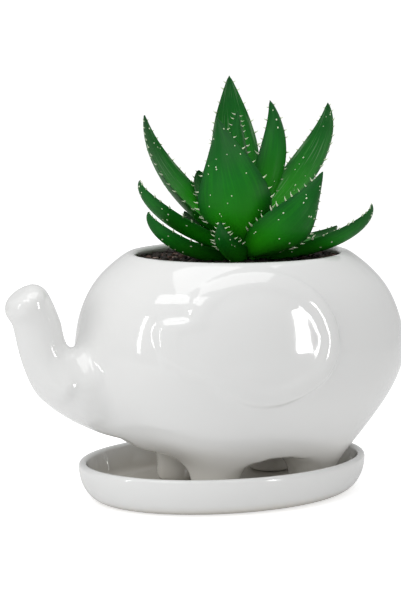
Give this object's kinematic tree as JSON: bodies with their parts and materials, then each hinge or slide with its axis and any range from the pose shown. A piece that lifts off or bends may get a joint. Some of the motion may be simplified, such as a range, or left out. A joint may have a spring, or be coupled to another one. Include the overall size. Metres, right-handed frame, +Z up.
{
  "type": "animal shaped planter",
  "caption": "Elephant shaped ceramic planter with a raised trunk on a separate oval saucer, planted with a small aloe in grit.",
  "frame": {"origin": "centre of the saucer's flat underside, on the surface it stands on", "axes": "+Z up; -X towards the tip of the trunk; +Y towards the animal's right side, so that -Y faces a viewer who sees the trunk on the left"},
  "size_m": [0.1744, 0.1162, 0.1746],
  "materials": {
    "glaze": "glossy white glaze",
    "mesh_plastic": "matt black plastic",
    "mix": "damp crumbly potting mix",
    "grit_dark": "dark grit",
    "grit_brown": "reddish brown grit",
    "grit_pale": "pale pinkish grit",
    "leaf_green": "waxy green leaf"
  },
  "bodies": {
    "saucer": {"saucer": "glaze"},
    "pot": {"elephant_pot": "glaze", "drain_mesh": "mesh_plastic", "potting_mix": "mix", "grit_bed": "grit_dark", "grit_dark": "grit_dark", "grit_brown": "grit_brown", "grit_pale": "grit_pale"},
    "plant": {"root_ball": "mix", "grit_on_roots": "grit_dark", "aloe_crown": "leaf_green", "leaf_heart": "leaf_green", "leaf_upright": "leaf_green", "leaf_back_tall": "leaf_green", "leaf_front_broad": "leaf_green", "leaf_right_tall": "leaf_green", "leaf_left_tall": "leaf_green", "leaf_back_small": "leaf_green", "leaf_back_right": "leaf_green", "leaf_left": "leaf_green", "leaf_front_right": "leaf_green", "leaf_back": "leaf_green", "leaf_right_low": "leaf_green", "leaf_left_low": "leaf_green", "leaf_front_small": "leaf_green", "leaf_right_under": "leaf_green", "leaf_back_left": "leaf_green", "leaf_right_back": "leaf_green"}
  },
  "joints": [
    {"name": "pot_lift", "type": "slide", "parent": "saucer", "child": "pot", "axis": [0, 0, 1], "range_m": [0, 0.04]},
    {"name": "plant_lift", "type": "slide", "parent": "pot", "child": "plant", "axis": [0, 0, 1], "range_m": [0, 0.05]}
  ]
}
